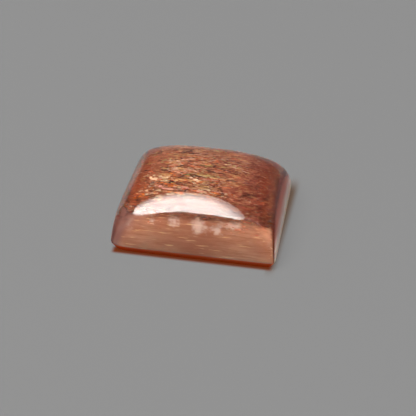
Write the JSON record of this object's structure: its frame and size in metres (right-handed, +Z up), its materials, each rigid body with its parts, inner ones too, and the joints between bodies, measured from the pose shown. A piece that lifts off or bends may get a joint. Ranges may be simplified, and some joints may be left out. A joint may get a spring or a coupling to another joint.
{
  "type": "sunstone cabochon",
  "caption": "Polished cushion-shaped cabochon of translucent sunstone, flat underneath and domed on top.",
  "frame": {"origin": "on the surface that the stone rests on, under the middle of its box", "axes": "+Z up out of the dome, +X along the stone's front, +Y from the front to the back"},
  "size_m": [0.013, 0.0118, 0.0047],
  "materials": {
    "sunstone": "polished, translucent peach brown with fine bright platelets inside"
  },
  "bodies": {
    "root": {"sunstone": "sunstone"}
  },
  "joints": []
}
